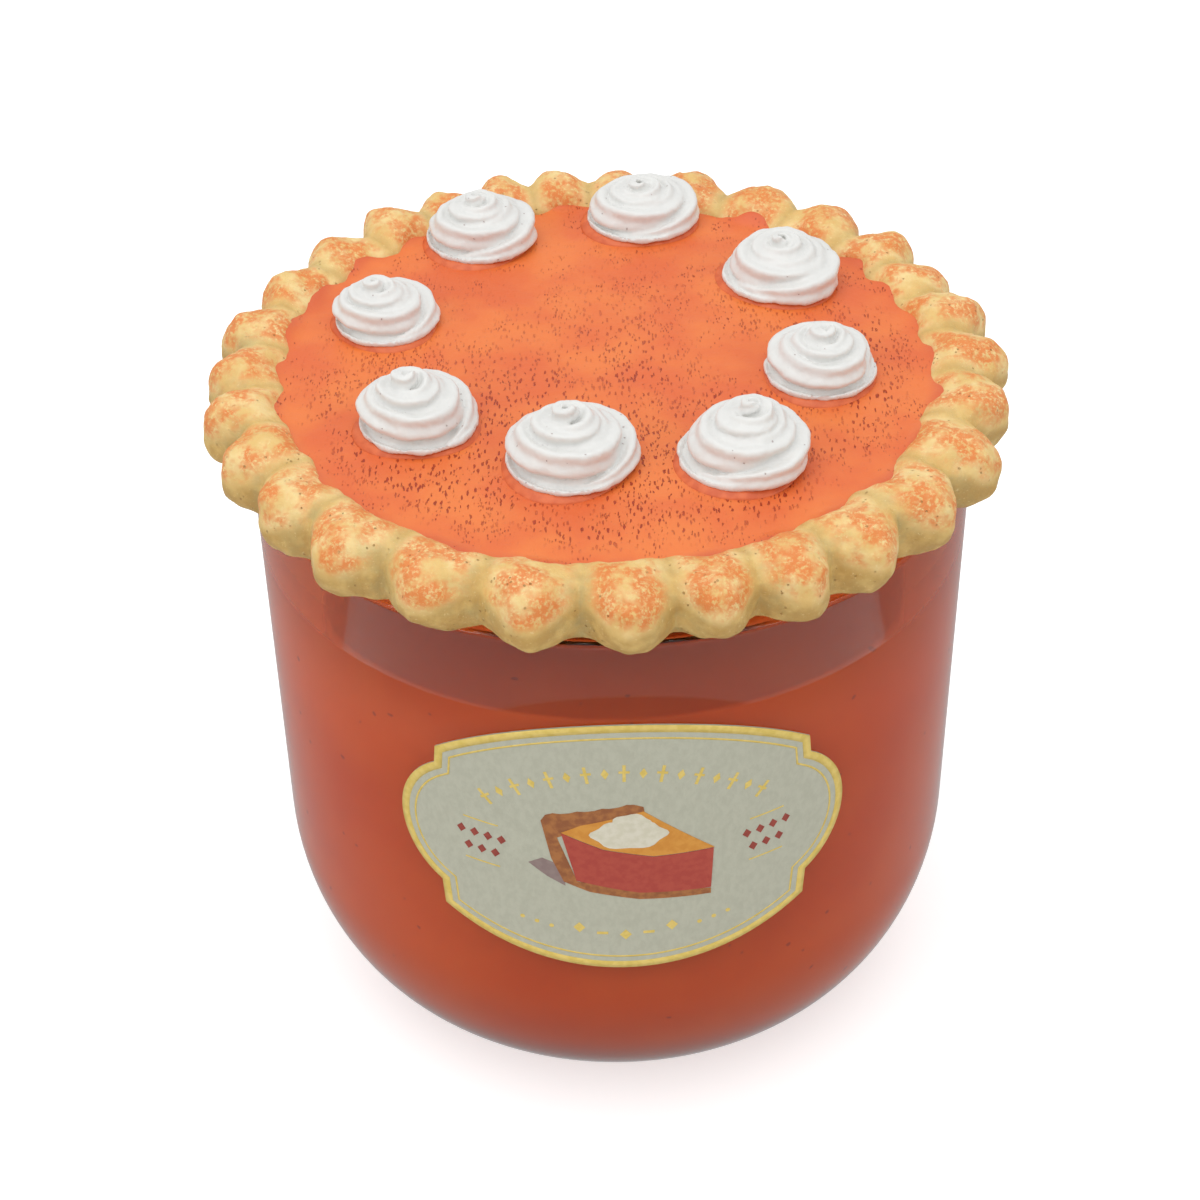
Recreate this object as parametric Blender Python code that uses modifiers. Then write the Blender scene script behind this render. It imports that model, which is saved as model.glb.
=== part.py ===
"""Jar candle whose lid is a cast pumpkin pie.

A clear glass jar with a rounded base holds orange wax and carries a plaque-shaped paper label.
The lid has a fluted crust rim round a disc of filling, piped swirls that stand on the filling,
and a sealing plug underneath that drops into the mouth of the jar.

Metres, +Z up. The origin is the middle of the face that the jar stands on. The label faces -Y.
"""

import math

import bmesh
import bpy

MM = 0.001
GAP = 0.3 * MM  # clearance where one piece rests on or lies against another
TURN_STEPS = 40  # facets round a turned piece

# Glass jar
JAR_HEIGHT = 95.5 * MM
MOUTH_RADIUS = 52.5 * MM
WALL_DRAFT = 0.2 * MM  # how much narrower the wall is where the rounded base starts
WALL = 3.8 * MM
BASE_ROUND_HEIGHT = 29.4 * MM
FOOT_RADIUS = 32.2 * MM
FLOOR_THICKNESS = 6.0 * MM
INNER_FLAT_RADIUS = 30.0 * MM
LIP_ROUND = 1.2 * MM

# Wax
WAX_LEVEL = 80.3 * MM

# Label: a plaque with an arched top, stepped corners, round ears and an arched bottom
LABEL_MIDDLE = 1.1 * MM  # measured round the wall from the front
LABEL_THICKNESS = 0.3 * MM
LABEL_HALF_CHORD = 26.8 * MM
LABEL_TOP = 81.9 * MM
LABEL_TOP_CORNER = 73.3 * MM
LABEL_BOTTOM = 35.7 * MM
LABEL_BOTTOM_CORNER = 43.4 * MM
EAR_TOP = 70.3 * MM
EAR_BOTTOM = 47.9 * MM
EAR_TIP = 33.2 * MM
STEP_WIDTH = 0.3 * MM  # the short slanted step between the arch and the ear
COLUMNS_IN_ARCH = 12
COLUMNS_IN_EAR = 5

# Plug under the lid
PLUG_RADIUS = 47.2 * MM
PLUG_DEPTH = 3.6 * MM
PLUG_CHAMFER = 0.8 * MM

# Lid: the casting sits a little off the jar's axis
LID_SHIFT = (-0.8 * MM, 1.0 * MM)
LID_BOTTOM = JAR_HEIGHT + GAP

# Crust rim, a ribbon that is pinched outward at each lobe and inward between lobes
LOBES = 29
STEPS_PER_LOBE = 6
STEPS_ROUND_RIM = 10
CRUST_INNER_RADIUS = 47.8 * MM
CRUST_MIDDLE_RADIUS = 52.4 * MM
CRUST_MIDDLE_HEIGHT = 100.6 * MM
PINCH = 0.8 * MM
CROWN_RISE = 4.3 * MM
LOBE_CROWN = 0.8 * MM
BACK_LIFT = 1.2 * MM
BACK_LIFT_AT = math.radians(102)
BACK_LIFT_SPREAD = math.radians(22)
REACH_IN_VALLEY = 2.4 * MM
REACH_AT_LOBE = 5.4 * MM
LOBE_DRIFT_DEG = ((0, -2.7), (1, 4.5), (2, -0.8), (4, 1.6))  # cosine terms: turns per round, degrees
LOBE_UNEVENNESS = 0.12

# Filling
FILLING_TOP = 103.7 * MM
FILLING_DOME = 0.3 * MM
FILLING_EDGE = 0.5 * MM

# Piped swirls: place on the lid (x, y), width of the base, height, direction of the coil's
# loose end in degrees, and how far the tip leans from the middle (x, y); lengths in mm
SWIRL_SEGMENTS = 18
SWIRL_RINGS = 12
SWIRL_TURNS = 2.6
SWIRLS = (
    ("back_left", -19.9, 37.4, 18.4, 8.0, 340, 0.0, 0.0),
    ("back_right", 5.1, 42.6, 18.8, 6.4, 350, 0.2, 0.0),
    ("right_back", 25.9, 25.0, 19.2, 7.0, 300, 0.4, 0.0),
    ("right", 30.1, -1.6, 17.6, 7.6, 60, 0.8, 0.0),
    ("front_right", 17.7, -22.6, 18.8, 9.2, 315, 2.0, 0.3),
    ("front", -5.6, -23.0, 19.0, 9.2, 15, 0.0, 0.0),
    ("front_left", -26.8, -13.4, 18.0, 9.0, 40, -1.3, 0.0),
    ("left", -33.0, 13.6, 16.2, 7.4, 20, -1.3, 0.0),
)

GLASS = ("clear_glass", (0.82, 0.86, 0.86), 0.03, 1.0)
WAX = ("orange_wax", (0.66, 0.18, 0.06), 0.45, 0.0)
PAPER = ("label_paper", (0.47, 0.48, 0.37), 0.6, 0.0)
SEAL = ("clear_seal", (0.80, 0.72, 0.68), 0.3, 0.0)
CRUST = ("painted_crust", (0.80, 0.62, 0.28), 0.6, 0.0)
FILLING = ("painted_filling", (0.85, 0.25, 0.10), 0.5, 0.0)
CREAM = ("painted_cream", (0.86, 0.86, 0.86), 0.45, 0.0)


def clear_scene():
    """Remove whatever the file holds."""
    for item in list(bpy.data.objects):
        bpy.data.objects.remove(item, do_unlink=True)


def material(name, colour, roughness, transmission):
    """Principled material, made once for each name."""
    made = bpy.data.materials.get(name)
    if made:
        return made
    made = bpy.data.materials.new(name)
    made.use_nodes = True
    shader = made.node_tree.nodes["Principled BSDF"]
    shader.inputs["Base Color"].default_value = (*colour, 1.0)
    shader.inputs["Roughness"].default_value = roughness
    shader.inputs["Metallic"].default_value = 0.0
    shader.inputs["Transmission Weight"].default_value = transmission
    return made


def add_part(name, mesh, look):
    """Named object in the model's collection."""
    part = bpy.data.objects.new(name, mesh)
    mesh.materials.append(material(*look))
    collection = bpy.data.collections.get("pie_lid_candle")
    if collection is None:
        collection = bpy.data.collections.new("pie_lid_candle")
        bpy.context.scene.collection.children.link(collection)
    collection.objects.link(part)
    return part


def mesh_from_bmesh(name, form):
    """Smooth-shaded mesh whose edges over 40 degrees stay crisp."""
    mesh = bpy.data.meshes.new(name)
    form.to_mesh(mesh)
    form.free()
    mesh.shade_smooth()
    mesh.set_sharp_from_angle(angle=math.radians(40))
    return mesh


def turned(name, profile, look):
    """Body turned round Z from (radius, height) points that run down its outer side."""
    edges = [(i, i + 1) for i in range(len(profile) - 1)]
    mesh = bpy.data.meshes.new(name)
    mesh.from_pydata([(radius, 0.0, height) for radius, height in profile], edges, [])
    part = add_part(name, mesh, look)
    screw = part.modifiers.new("turn", "SCREW")
    screw.steps = TURN_STEPS
    screw.render_steps = TURN_STEPS
    screw.use_merge_vertices = True
    screw.merge_threshold = 0.00001
    screw.use_smooth_shade = True
    return part


def quarter_round(outer_radius, flat_radius, low, high, steps):
    """Points down a quarter ellipse from the wall at height high to the flat at height low."""
    points = []
    for i in range(steps + 1):
        turn = 0.5 * math.pi * i / steps
        radius = flat_radius + (outer_radius - flat_radius) * math.cos(turn)
        points.append((radius, high - (high - low) * math.sin(turn)))
    return points


def jar_outer_radius(height):
    """Outer radius of the jar at a height on its straight wall."""
    share = (JAR_HEIGHT - height) / (JAR_HEIGHT - BASE_ROUND_HEIGHT)
    return MOUTH_RADIUS - WALL_DRAFT * share


def jar_glass():
    """Open glass jar: rounded lip, drafted wall, rounded base and a thick floor."""
    wall_foot = jar_outer_radius(BASE_ROUND_HEIGHT)
    inside = quarter_round(wall_foot - WALL, INNER_FLAT_RADIUS, FLOOR_THICKNESS, BASE_ROUND_HEIGHT, 5)
    outside = quarter_round(wall_foot, FOOT_RADIUS, 0.0, BASE_ROUND_HEIGHT, 7)
    lip = [
        (MOUTH_RADIUS - WALL, JAR_HEIGHT - LIP_ROUND),
        (MOUTH_RADIUS - WALL + LIP_ROUND, JAR_HEIGHT),
        (MOUTH_RADIUS - LIP_ROUND, JAR_HEIGHT),
        (MOUTH_RADIUS, JAR_HEIGHT - LIP_ROUND),
    ]
    profile = [(0.0, FLOOR_THICKNESS)] + inside[::-1] + lip + outside + [(0.0, 0.0)]
    return turned("jar_glass", profile, GLASS)


def wax():
    """Wax poured to its level, a gap's width inside the glass."""
    wall_foot = jar_outer_radius(BASE_ROUND_HEIGHT) - WALL - GAP
    side = quarter_round(wall_foot, INNER_FLAT_RADIUS, FLOOR_THICKNESS + GAP, BASE_ROUND_HEIGHT, 5)
    top = jar_outer_radius(WAX_LEVEL) - WALL - GAP
    profile = [(0.0, WAX_LEVEL), (top, WAX_LEVEL)] + side + [(0.0, FLOOR_THICKNESS + GAP)]
    return turned("wax", profile, WAX)


def arch(distance, middle, corner):
    """Height of a circular arch that is at middle over its centre and at corner over its ends."""
    rise = middle - corner
    radius = (LABEL_HALF_CHORD**2 + rise**2) / (2 * rise)
    return middle - radius + math.copysign(math.sqrt(radius**2 - distance**2), radius)


def label_edges(distance):
    """Bottom and top height of the label at a distance from its middle, measured round the wall."""
    distance = abs(distance)
    if distance <= LABEL_HALF_CHORD:
        low = arch(distance, LABEL_BOTTOM, LABEL_BOTTOM_CORNER)
        return low, arch(distance, LABEL_TOP, LABEL_TOP_CORNER)
    middle = 0.5 * (EAR_TOP + EAR_BOTTOM)
    half = 0.5 * (EAR_TOP - EAR_BOTTOM)
    reach = EAR_TIP - LABEL_HALF_CHORD
    radius = (half**2 + reach**2) / (2 * reach)
    chord = math.sqrt(max(radius**2 - (distance - EAR_TIP + radius) ** 2, 0.0))
    return middle - chord, middle + chord


def label_columns():
    """Distances from the label's middle at which its edges are set, closer together in the ears."""
    ear_start = LABEL_HALF_CHORD + STEP_WIDTH
    ear_width = EAR_TIP - 0.05 * MM - ear_start
    ear = []
    for i in range(COLUMNS_IN_EAR + 1):
        ear.append(ear_start + ear_width * math.sin(0.5 * math.pi * i / COLUMNS_IN_EAR))
    middle = []
    for i in range(COLUMNS_IN_ARCH + 1):
        middle.append(LABEL_HALF_CHORD * (2 * i / COLUMNS_IN_ARCH - 1))
    return [-x for x in reversed(ear)] + middle + ear


def label():
    """Paper label bent round the wall, a gap's width off the glass."""
    columns = label_columns()
    form = bmesh.new()
    bmesh.ops.create_grid(form, x_segments=len(columns) - 1, y_segments=1, size=0.5)
    for vertex in form.verts:
        distance = columns[round((vertex.co.x + 0.5) * (len(columns) - 1))]
        height = label_edges(distance)[1 if vertex.co.y > 0 else 0]
        radius = jar_outer_radius(height) + GAP
        turn = (distance + LABEL_MIDDLE) / MOUTH_RADIUS
        vertex.co = (radius * math.sin(turn), -radius * math.cos(turn), height)
    part = add_part("label", mesh_from_bmesh("label", form), PAPER)
    thick = part.modifiers.new("paper", "SOLIDIFY")
    thick.thickness = LABEL_THICKNESS
    thick.offset = 1.0
    return part


def lid_plug():
    """Disc under the lid that seals the jar's mouth."""
    top = LID_BOTTOM - GAP
    low = top - PLUG_DEPTH
    profile = [
        (0.0, top),
        (PLUG_RADIUS, top),
        (PLUG_RADIUS, low + PLUG_CHAMFER),
        (PLUG_RADIUS - PLUG_CHAMFER, low),
        (0.0, low),
    ]
    return turned("lid_plug", profile, SEAL)


def place_on_lid(part):
    """Move a piece from the jar's axis to the lid's."""
    part.location.x += LID_SHIFT[0]
    part.location.y += LID_SHIFT[1]
    return part


def lobe_drift(turn):
    """How far the lobes have wandered from even spacing at this angle."""
    return sum(math.radians(size) * math.cos(count * turn) for count, size in LOBE_DRIFT_DEG)


def lobe_size(turn):
    """Size of the nearest lobe, which differs a little from lobe to lobe."""
    number = round(turn * LOBES / (2 * math.pi)) % LOBES
    return 1.0 + LOBE_UNEVENNESS * (math.sin(2.4 * number) + 0.6 * math.sin(5.1 * number + 1.0))


def crust_section(turn, around):
    """Radius and height of the crust where its rounded section is at angle around from outward."""
    lobe = abs(math.cos(0.5 * LOBES * turn)) ** 0.9
    share = lobe * lobe_size(turn)
    middle = CRUST_MIDDLE_RADIUS + PINCH * (2 * lobe - 1)
    lift = BACK_LIFT * math.exp(-(((turn - BACK_LIFT_AT) / BACK_LIFT_SPREAD) ** 2))
    outward = math.cos(around)
    upward = math.sin(around)
    if outward > 0:
        reach = REACH_IN_VALLEY + (REACH_AT_LOBE - REACH_IN_VALLEY) * share
    else:
        reach = middle - CRUST_INNER_RADIUS
    if upward > 0:
        rise = CROWN_RISE + LOBE_CROWN * share + lift
    else:
        rise = CRUST_MIDDLE_HEIGHT - LID_BOTTOM
    radius = middle + reach * math.copysign(abs(outward) ** 0.8, outward)
    return radius, CRUST_MIDDLE_HEIGHT + rise * math.copysign(abs(upward) ** 0.8, upward)


def pie_crust():
    """Fluted crust rim, a torus whose section and spacing follow the lobes."""
    bpy.ops.mesh.primitive_torus_add(
        major_segments=LOBES * STEPS_PER_LOBE,
        minor_segments=STEPS_ROUND_RIM,
        major_radius=1.0,
        minor_radius=0.25,
    )
    torus = bpy.context.active_object
    mesh = torus.data
    bpy.data.objects.remove(torus, do_unlink=True)
    mesh.name = "pie_crust"
    for vertex in mesh.vertices:
        turn = math.atan2(vertex.co.y, vertex.co.x) % (2 * math.pi)
        around = math.atan2(vertex.co.z, math.hypot(vertex.co.x, vertex.co.y) - 1.0)
        radius, height = crust_section(turn, around)
        angle = turn + lobe_drift(turn)
        vertex.co = (radius * math.cos(angle), radius * math.sin(angle), height)
    mesh.shade_smooth()
    return place_on_lid(add_part("pie_crust", mesh, CRUST))


def pie_filling():
    """Disc of filling inside the crust rim, very slightly domed."""
    edge = CRUST_INNER_RADIUS - GAP
    profile = [
        (0.0, FILLING_TOP + FILLING_DOME),
        (0.6 * edge, FILLING_TOP + 0.6 * FILLING_DOME),
        (edge - FILLING_EDGE, FILLING_TOP),
        (edge, FILLING_TOP - FILLING_EDGE),
        (edge, LID_BOTTOM),
        (0.0, LID_BOTTOM),
    ]
    return place_on_lid(turned("pie_filling", profile, FILLING))


def swirl_point(down, turn):
    """Radius and height, as shares of the swirl's own, at a share down from the tip and an angle."""
    foot = 0.76  # share at which the side meets the flattened underside
    if down > foot:
        inward = (down - foot) / (1.0 - foot)
        return 0.88 * (1.0 - inward), 0.0
    along = down / foot
    coil = math.cos(2 * math.pi * SWIRL_TURNS * along - turn)
    radius = math.sin(0.5 * math.pi * along) * (0.95 + 0.05 * coil * min(1.0, 2.0 * along))
    height = 1.0 - 0.86 * along**1.9 + 0.05 * coil * math.sin(math.pi * along)
    return radius, height


def inside_rim(x, y):
    """The point itself, or the nearest one inside the crust rim, which a swirl is pressed against."""
    across = x - LID_SHIFT[0]
    along = y - LID_SHIFT[1]
    keep = min(1.0, (CRUST_INNER_RADIUS - GAP) / math.hypot(across, along))
    return LID_SHIFT[0] + keep * across, LID_SHIFT[1] + keep * along


def cream_swirl(name, x, y, width, height, loose_end, lean_x, lean_y):
    """Piped swirl: a mound with one spiral ridge that winds up to its leaning tip."""
    form = bmesh.new()
    bmesh.ops.create_uvsphere(form, u_segments=SWIRL_SEGMENTS, v_segments=SWIRL_RINGS, radius=1.0)
    for vertex in form.verts:
        across = math.hypot(vertex.co.x, vertex.co.y)
        down = math.atan2(across, vertex.co.z) / math.pi
        turn = math.atan2(vertex.co.y, vertex.co.x)
        radius, rise = swirl_point(down, turn - math.radians(loose_end))
        radius *= 0.5 * width
        place = inside_rim(
            (x + lean_x * rise + radius * math.cos(turn)) * MM,
            (y + lean_y * rise + radius * math.sin(turn)) * MM,
        )
        vertex.co = (place[0] - x * MM, place[1] - y * MM, rise * height * MM)
    part = add_part("cream_" + name, mesh_from_bmesh("cream_" + name, form), CREAM)
    part.location = (x * MM, y * MM, FILLING_TOP + FILLING_DOME + GAP)
    return part


def main():
    clear_scene()
    jar_glass()
    wax()
    label()
    lid_plug()
    pie_crust()
    pie_filling()
    for swirl in SWIRLS:
        cream_swirl(*swirl)


main()
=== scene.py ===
"""Looks of the jar candle whose lid is a cast pumpkin pie.

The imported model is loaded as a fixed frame. Each of its solids is replaced by a detailed piece of the
same size and place, or keeps its shape and gets a better material. Lengths are in millimetres until a
mesh is finished, and then in metres. Colours are written as sRGB and rounded when they become linear.
"""

import math

import bmesh
import bpy
import numpy as np
from mathutils import Matrix, Vector, noise


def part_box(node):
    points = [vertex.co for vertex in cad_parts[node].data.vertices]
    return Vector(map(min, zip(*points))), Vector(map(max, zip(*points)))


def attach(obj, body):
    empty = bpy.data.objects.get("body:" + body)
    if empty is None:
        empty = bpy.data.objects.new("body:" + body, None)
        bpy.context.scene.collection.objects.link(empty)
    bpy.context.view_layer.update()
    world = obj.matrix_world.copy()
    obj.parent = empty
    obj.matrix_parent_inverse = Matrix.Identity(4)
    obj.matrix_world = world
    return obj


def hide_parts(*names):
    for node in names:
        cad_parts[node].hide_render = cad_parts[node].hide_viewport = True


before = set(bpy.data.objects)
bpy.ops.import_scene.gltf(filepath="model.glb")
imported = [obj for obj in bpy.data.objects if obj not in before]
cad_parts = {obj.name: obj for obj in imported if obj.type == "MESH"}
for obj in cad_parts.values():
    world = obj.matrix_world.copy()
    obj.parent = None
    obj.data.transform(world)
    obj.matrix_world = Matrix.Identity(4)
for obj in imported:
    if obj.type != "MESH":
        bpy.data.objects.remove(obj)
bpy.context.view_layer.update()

MM = 0.001

# Jar: radii and heights come from the frame, and the rest repeats the jar's design
JAR_LOW, JAR_HIGH = (corner * 1000.0 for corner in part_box("jar_glass"))
MOUTH_RADIUS = 0.5 * (JAR_HIGH.x - JAR_LOW.x)
JAR_HEIGHT = JAR_HIGH.z
WALL_DRAFT = 0.2
WALL = 3.8
BASE_ROUND_HEIGHT = 29.4
FOOT_RADIUS = 32.2
FLOOR_THICKNESS = 6.0
INNER_FLAT_RADIUS = 30.0
LIP_ROUND = 1.2
WAX_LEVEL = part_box("wax")[1].z * 1000.0
INTO_GLASS = 0.1  # how far the wax reaches into the wall, so that no air lies between them
STEPS_ROUND_JAR = 180

# Label outline, measured round the wall from its own middle, and heights
LABEL_MIDDLE = 1.1
LABEL_RADIUS_OUT = 0.35  # the paper's face stands this far off the wall
LABEL_HALF_CHORD = 26.8
LABEL_TOP = 81.9
LABEL_TOP_CORNER = 73.3
LABEL_BOTTOM = 35.7
LABEL_BOTTOM_CORNER = 43.4
EAR_TOP = 70.3
EAR_BOTTOM = 47.9
EAR_TIP = 33.2
STEP_WIDTH = 0.3
PAPER_THICKNESS = 0.25
BORDER_WIDTH = 1.25
LINE_FROM, LINE_TO = 2.15, 2.45  # the thin gold line, inward from the outline
PRINT_OFF = 0.03  # how far print stands off the paper
PRINT_THICKNESS = 0.05

# Lid
LID_SHIFT = Vector((-0.8, 1.0, 0.0))
LID_BOTTOM = 95.8
LOBES = 29
CRUST_INNER_RADIUS = 46.0
CRUST_MIDDLE_RADIUS = 51.6
CRUST_MIDDLE_HEIGHT = 100.6
PINCH = 0.8
CROWN_RISE = 4.3
LOBE_CROWN = 1.3
BACK_LIFT = 0.6
BACK_LIFT_AT = math.radians(102)
BACK_LIFT_SPREAD = math.radians(22)
REACH_IN_VALLEY = 3.5
REACH_AT_LOBE = 5.9
REACH_TO_RIGHT = 0.5  # the casting reaches further out on its right side
LOBE_DRIFT_DEG = ((0, -2.7), (1, 4.5), (2, -0.8), (4, 1.6))
LOBE_UNEVENNESS = 0.16
FILLING_TOP = 103.7
FILLING_DOME = 0.3

# Swirls: node, place on the lid (x, y), width, height, direction of the coil's loose end in
# degrees, and how far the tip leans (x, y)
SWIRLS = (
    ("cream_back_left", -19.9, 37.6, 18.4, 8.3, 340, 0.0, 0.0),
    ("cream_back_right", 5.2, 43.4, 18.8, 6.9, 350, 0.2, 0.0),
    ("cream_right_back", 25.9, 25.0, 19.2, 7.3, 300, 0.4, 0.0),
    ("cream_right", 30.1, -1.6, 17.8, 7.9, 60, 0.8, 0.0),
    ("cream_front_right", 17.7, -22.6, 19.4, 9.5, 315, 2.0, 0.3),
    ("cream_front", -5.6, -23.0, 19.6, 9.5, 15, 0.0, 0.0),
    ("cream_front_left", -26.8, -13.4, 18.4, 9.2, 40, -1.3, 0.0),
    ("cream_left", -33.0, 13.6, 16.6, 7.7, 20, -1.3, 0.0),
)
SWIRL_BASE = FILLING_TOP + FILLING_DOME + 0.4
ROPE_TURNS = 3.1
ROPE_SHARE = 0.145  # the rope's radius over the swirl's width
ROPE_FLUTES = 5
ROPE_FLUTE_DEPTH = 0.15
ROPE_END = 0.012  # share of the rope over which each of its ends is rounded off
VOXEL = 0.21
FOOT_SHIFT = 0.35  # each foot stands this far to the left and to the front of its swirl

# Room and camera, in metres
CAMERA_PLACE = Vector((0.0, -0.3090, 0.3040))
CAMERA_AIM = Vector((-0.00207, 0.0, 0.06182))
CAMERA_ROLL = math.radians(-1.05)
CAMERA_LENS = 76.3
LAMP_AIM = (0.0, 0.0, 0.06)
FLOOR_SIZE = 6.0
FLOOR_IN_REFLECTIONS = 0.5


# ---------------------------------------------------------------- small helpers


def linear(red, green, blue):
    """Linear colour of an sRGB one given as 0 to 255, rounded to three places."""
    shares = []
    for value in (red, green, blue):
        value /= 255.0
        shares.append(value / 12.92 if value <= 0.04045 else ((value + 0.055) / 1.055) ** 2.4)
    return tuple(round(share, 3) for share in shares)


def smooth_step(low, high, value):
    """0 below low, 1 above high and a smooth rise between."""
    share = min(max((value - low) / (high - low), 0.0), 1.0)
    return share * share * (3.0 - 2.0 * share)


def rough(point, size, seed=0.0):
    """Smooth noise from about -1 to 1 with bumps about size across."""
    return noise.noise(Vector(point) / size + Vector((seed, 1.7 * seed, 0.0)))


def new_piece(name, mesh, look, replaced=()):
    """Finished piece of the object: in metres, on the root body, standing for its CAD nodes."""
    mesh.transform(Matrix.Scale(MM, 4))
    mesh.materials.clear()
    mesh.materials.append(look)
    piece = bpy.data.objects.new(name, mesh)
    bpy.context.scene.collection.objects.link(piece)
    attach(piece, "root")
    if replaced:
        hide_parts(*replaced)
    return piece


def grid_mesh(name, rows, wrap_columns=False, wrap_rows=False):
    """Mesh of quads through a table of points, optionally closed along either direction."""
    count, width = len(rows), len(rows[0])
    points = [point for row in rows for point in row]
    faces = []
    for i in range(count if wrap_rows else count - 1):
        for j in range(width if wrap_columns else width - 1):
            near, far = i * width, ((i + 1) % count) * width
            step = (j + 1) % width
            faces.append((near + j, near + step, far + step, far + j))
    mesh = bpy.data.meshes.new(name)
    mesh.from_pydata(points, [], faces)
    mesh.shade_smooth()
    return mesh


def close_ends(mesh):
    """Fill the mesh's open rings and turn its faces outward."""
    form = bmesh.new()
    form.from_mesh(mesh)
    bmesh.ops.holes_fill(form, edges=form.edges, sides=0)
    bmesh.ops.recalc_face_normals(form, faces=form.faces)
    form.to_mesh(mesh)
    form.free()


def add_number(mesh, name, values):
    """Store one number for each vertex, for a material to read."""
    mesh.attributes.new(name, "FLOAT", "POINT").data.foreach_set("value", values)


def applied(mesh, set_modifiers):
    """Mesh with the modifiers that set_modifiers adds worked out on it."""
    holder = bpy.data.objects.new("holder", mesh)
    bpy.context.scene.collection.objects.link(holder)
    set_modifiers(holder)
    graph = bpy.context.evaluated_depsgraph_get()
    result = bpy.data.meshes.new_from_object(holder.evaluated_get(graph))
    bpy.data.objects.remove(holder)
    return result


def vertex_table(mesh):
    """Places of a mesh's vertices, one row each."""
    table = np.empty(3 * len(mesh.vertices))
    mesh.vertices.foreach_get("co", table)
    return table.reshape(-1, 3)


def normal_table(mesh):
    """Normals of a mesh's vertices, one row each."""
    table = np.empty(3 * len(mesh.vertices))
    mesh.vertices.foreach_get("normal", table)
    return table.reshape(-1, 3)


# ---------------------------------------------------------------- materials


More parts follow.
